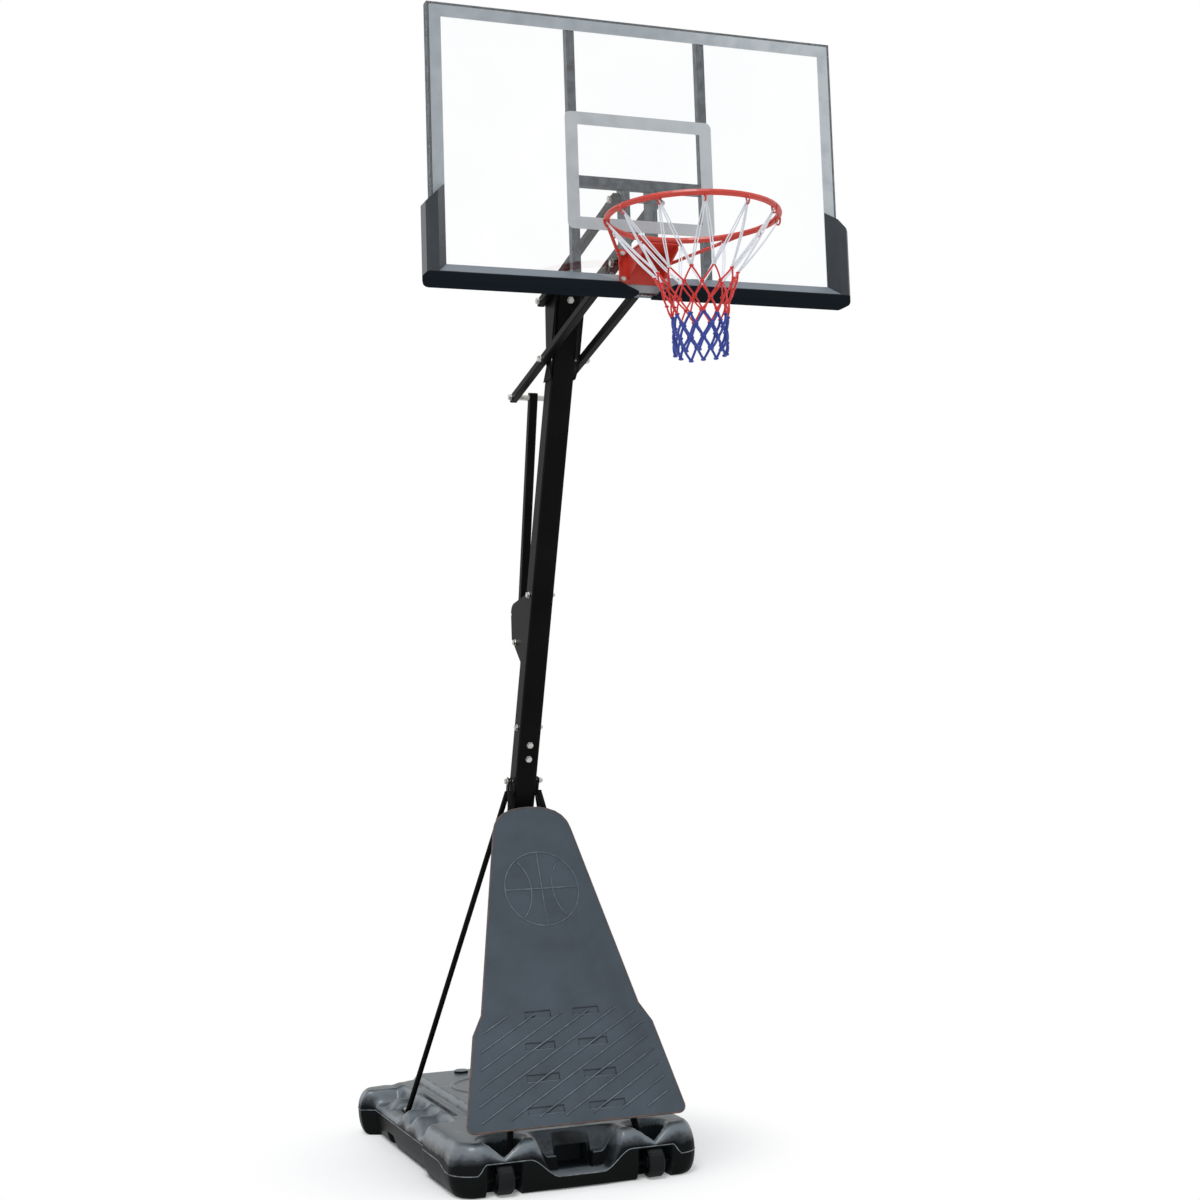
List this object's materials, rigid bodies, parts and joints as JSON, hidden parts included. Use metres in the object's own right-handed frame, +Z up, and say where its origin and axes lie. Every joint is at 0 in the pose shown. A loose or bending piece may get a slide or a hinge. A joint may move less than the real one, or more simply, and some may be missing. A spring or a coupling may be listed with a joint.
{
  "type": "portable basketball stand",
  "caption": "Portable basketball stand: clear framed backboard, hoop with net, parallel lift arms, leaning square pole and wheeled ballast base with a guard panel.",
  "frame": {"origin": "on the base's underside, at ground level, midway between its sides and 0.60 m behind its front edge", "axes": "+Z up, -Y towards the player (the way the backboard faces), +X to the right as the player sees it"},
  "size_m": [1.304, 2.6338, 3.47],
  "materials": {
    "black_steel": "satin black powder coat",
    "frame_steel": "dark grey painted steel",
    "zinc": "bright zinc plate",
    "rim_red": "orange-red powder coat",
    "base_plastic": "blow-moulded polyethylene, soft sheen",
    "panel_plastic": "slate grey blow-moulded polyethylene",
    "pad_plastic": "dark moulded pad",
    "wheel_plastic": "hard black plastic",
    "clear_sheet": "clear polycarbonate with a printed grey border and shooter's square",
    "net_cord": "braided cord in white, red and blue bands"
  },
  "bodies": {
    "stand": {"base_tank": "base_plastic", "wheel_axle_left": "black_steel", "wheel_axle_right": "black_steel", "pole_lower": "black_steel", "pole_middle": "black_steel", "pole_upper": "black_steel", "pole_cap": "base_plastic", "front_strut_left": "black_steel", "front_strut_right": "black_steel", "side_brace_left": "black_steel", "side_brace_right": "black_steel", "brace_foot_screw_left": "zinc", "brace_foot_screw_right": "zinc", "main_bolt": "zinc", "upper_joint_bolt": "zinc", "side_joint_bolt": "zinc", "front_bolt_upper": "zinc", "front_bolt_lower": "zinc", "head_bolt": "zinc", "guard_panel": "panel_plastic", "head_cheek_left": "black_steel", "head_cheek_right": "black_steel", "rear_lower_pivot_bolt": "zinc", "rear_upper_pivot_bolt": "zinc", "lift_bracket": "black_steel", "anchor_screw_left": "zinc", "anchor_screw_right": "zinc", "lever_pin": "zinc"},
    "lower_arms": {"lower_arm_left": "black_steel", "lower_arm_right": "black_steel", "tail_bolt": "zinc", "tail_spacer_left": "zinc", "tail_spacer_right": "zinc"},
    "upper_arms": {"upper_arm_left": "black_steel", "upper_arm_right": "black_steel"},
    "lift_tube": {"lift_tube": "black_steel"},
    "lift_rod": {"lift_rod": "zinc"},
    "board": {"backboard_sheet": "clear_sheet", "top_rail": "frame_steel", "bottom_rail": "frame_steel", "side_rail_left": "frame_steel", "side_rail_right": "frame_steel", "upright_left": "frame_steel", "upright_right": "frame_steel", "pivot_frame": "frame_steel", "front_lower_pivot_bolt": "zinc", "front_upper_pivot_bolt": "zinc", "pad_left": "pad_plastic", "pad_right": "pad_plastic", "rim_bracket": "rim_red", "rim_ring": "rim_red", "rim_bolt_1": "zinc", "rim_bolt_2": "zinc", "rim_bolt_3": "zinc", "rim_bolt_4": "zinc", "net": "net_cord"},
    "lever": {"lift_lever": "pad_plastic"},
    "wheel_left": {"wheel_left": "wheel_plastic"},
    "wheel_right": {"wheel_right": "wheel_plastic"},
    "cap": {"filler_cap": "base_plastic"}
  },
  "joints": [
    {"name": "lift", "type": "hinge", "parent": "stand", "child": "lower_arms", "pos_m": [0, -0.655, 2.622], "axis": [-1, 0, 0], "range_deg": [-44.2, 23.1]},
    {"name": "upper_arm_swing", "type": "hinge", "parent": "stand", "child": "upper_arms", "pos_m": [0, -0.655, 2.812], "axis": [-1, 0, 0], "range_deg": [-44.8, 23.7]},
    {"name": "board_level", "type": "hinge", "parent": "lower_arms", "child": "board", "pos_m": [0, -1.33, 2.762], "axis": [-1, 0, 0], "range_deg": [-23.7, 44.8]},
    {"name": "tube_swing", "type": "hinge", "parent": "lower_arms", "child": "lift_tube", "pos_m": [0, -0.33481, 2.55559], "axis": [-1, 0, 0], "range_deg": [-25.4, 48.1]},
    {"name": "rod_slide", "type": "slide", "parent": "lift_tube", "child": "lift_rod", "axis": [0, 0.2427, -0.9701], "range_m": [-0.128, 0.243]},
    {"name": "lever_pull", "type": "hinge", "parent": "stand", "child": "lever", "pos_m": [0, -0.099, 1.836], "axis": [-1, 0, 0], "range_deg": [0, 11], "stiffness_Nm_per_rad": 1.5, "springref_deg": -20.05},
    {"name": "wheel_left_spin", "type": "hinge", "parent": "stand", "child": "wheel_left", "pos_m": [-0.25, -0.57, 0.051], "axis": [1, 0, 0], "continuous": true},
    {"name": "wheel_right_spin", "type": "hinge", "parent": "stand", "child": "wheel_right", "pos_m": [0.25, -0.57, 0.051], "axis": [1, 0, 0], "continuous": true},
    {"name": "cap_pull", "type": "slide", "parent": "stand", "child": "cap", "axis": [0, 0, 1], "range_m": [0, 0.04]}
  ],
  "couplings": [
    {"joint": "upper_arm_swing", "follows": "lift", "ratio": 1},
    {"joint": "board_level", "follows": "lift", "ratio": -1},
    {"joint": "tube_swing", "follows": "lift", "ratio": -1.0747},
    {"joint": "rod_slide", "follows": "lift", "m_per_rad": -0.3105}
  ]
}
